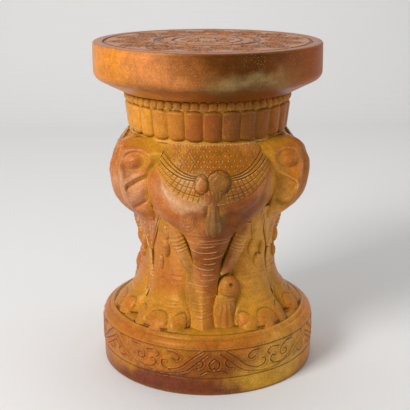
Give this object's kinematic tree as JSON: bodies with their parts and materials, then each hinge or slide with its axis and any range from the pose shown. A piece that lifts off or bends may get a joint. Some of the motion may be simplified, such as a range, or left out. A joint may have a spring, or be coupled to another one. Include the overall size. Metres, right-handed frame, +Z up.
{
  "type": "terracotta elephant stool",
  "caption": "Round terracotta garden stool: a thick seat disc on a fluted collar, carried by elephants that stand back to back on a round plinth with a scroll band.",
  "frame": {"origin": "centre of the ring foot, on the floor", "axes": "+Z up along the stool's axis, -Y the way the front elephant faces, +X to the right seen from the front"},
  "size_m": [0.308, 0.308, 0.45],
  "materials": {
    "seat_clay": "satin",
    "collar_clay": "satin",
    "body_clay": "satin",
    "figure_clay": "satin",
    "plinth_clay": "satin"
  },
  "bodies": {
    "root": {"bead_band": "collar_clay", "body_shell": "body_clay", "collar": "collar_clay", "front_brow_jewel": "figure_clay", "front_head": "figure_clay", "front_headdress": "figure_clay", "front_left_cord": "figure_clay", "front_left_ear": "figure_clay", "front_left_leg": "figure_clay", "front_left_pennant": "figure_clay", "front_right_cord": "figure_clay", "front_right_ear": "figure_clay", "front_right_leg": "figure_clay", "front_right_pennant": "figure_clay", "front_sheaf": "figure_clay", "front_shoulder_cloths": "figure_clay", "front_tassels": "figure_clay", "front_toenails": "figure_clay", "front_trunk": "figure_clay", "front_trunk_tip": "figure_clay", "front_tusks": "figure_clay", "left_brow_jewel": "figure_clay", "left_head": "figure_clay", "left_headdress": "figure_clay", "left_left_ear": "figure_clay", "left_left_leg": "figure_clay", "left_right_ear": "figure_clay", "left_right_leg": "figure_clay", "left_sheaf": "figure_clay", "left_shoulder_cloths": "figure_clay", "left_tassels": "figure_clay", "left_toenails": "figure_clay", "left_trunk": "figure_clay", "left_trunk_tip": "figure_clay", "left_tusks": "figure_clay", "plinth_drum": "plinth_clay", "plinth_top": "plinth_clay", "rear_cord": "figure_clay", "rear_pennant": "figure_clay", "right_brow_jewel": "figure_clay", "right_head": "figure_clay", "right_headdress": "figure_clay", "right_left_ear": "figure_clay", "right_left_leg": "figure_clay", "right_right_ear": "figure_clay", "right_right_leg": "figure_clay", "right_sheaf": "figure_clay", "right_shoulder_cloths": "figure_clay", "right_tassels": "figure_clay", "right_toenails": "figure_clay", "right_trunk": "figure_clay", "right_trunk_tip": "figure_clay", "right_tusks": "figure_clay", "seat_drum": "seat_clay", "seat_slab": "seat_clay"}
  },
  "joints": []
}
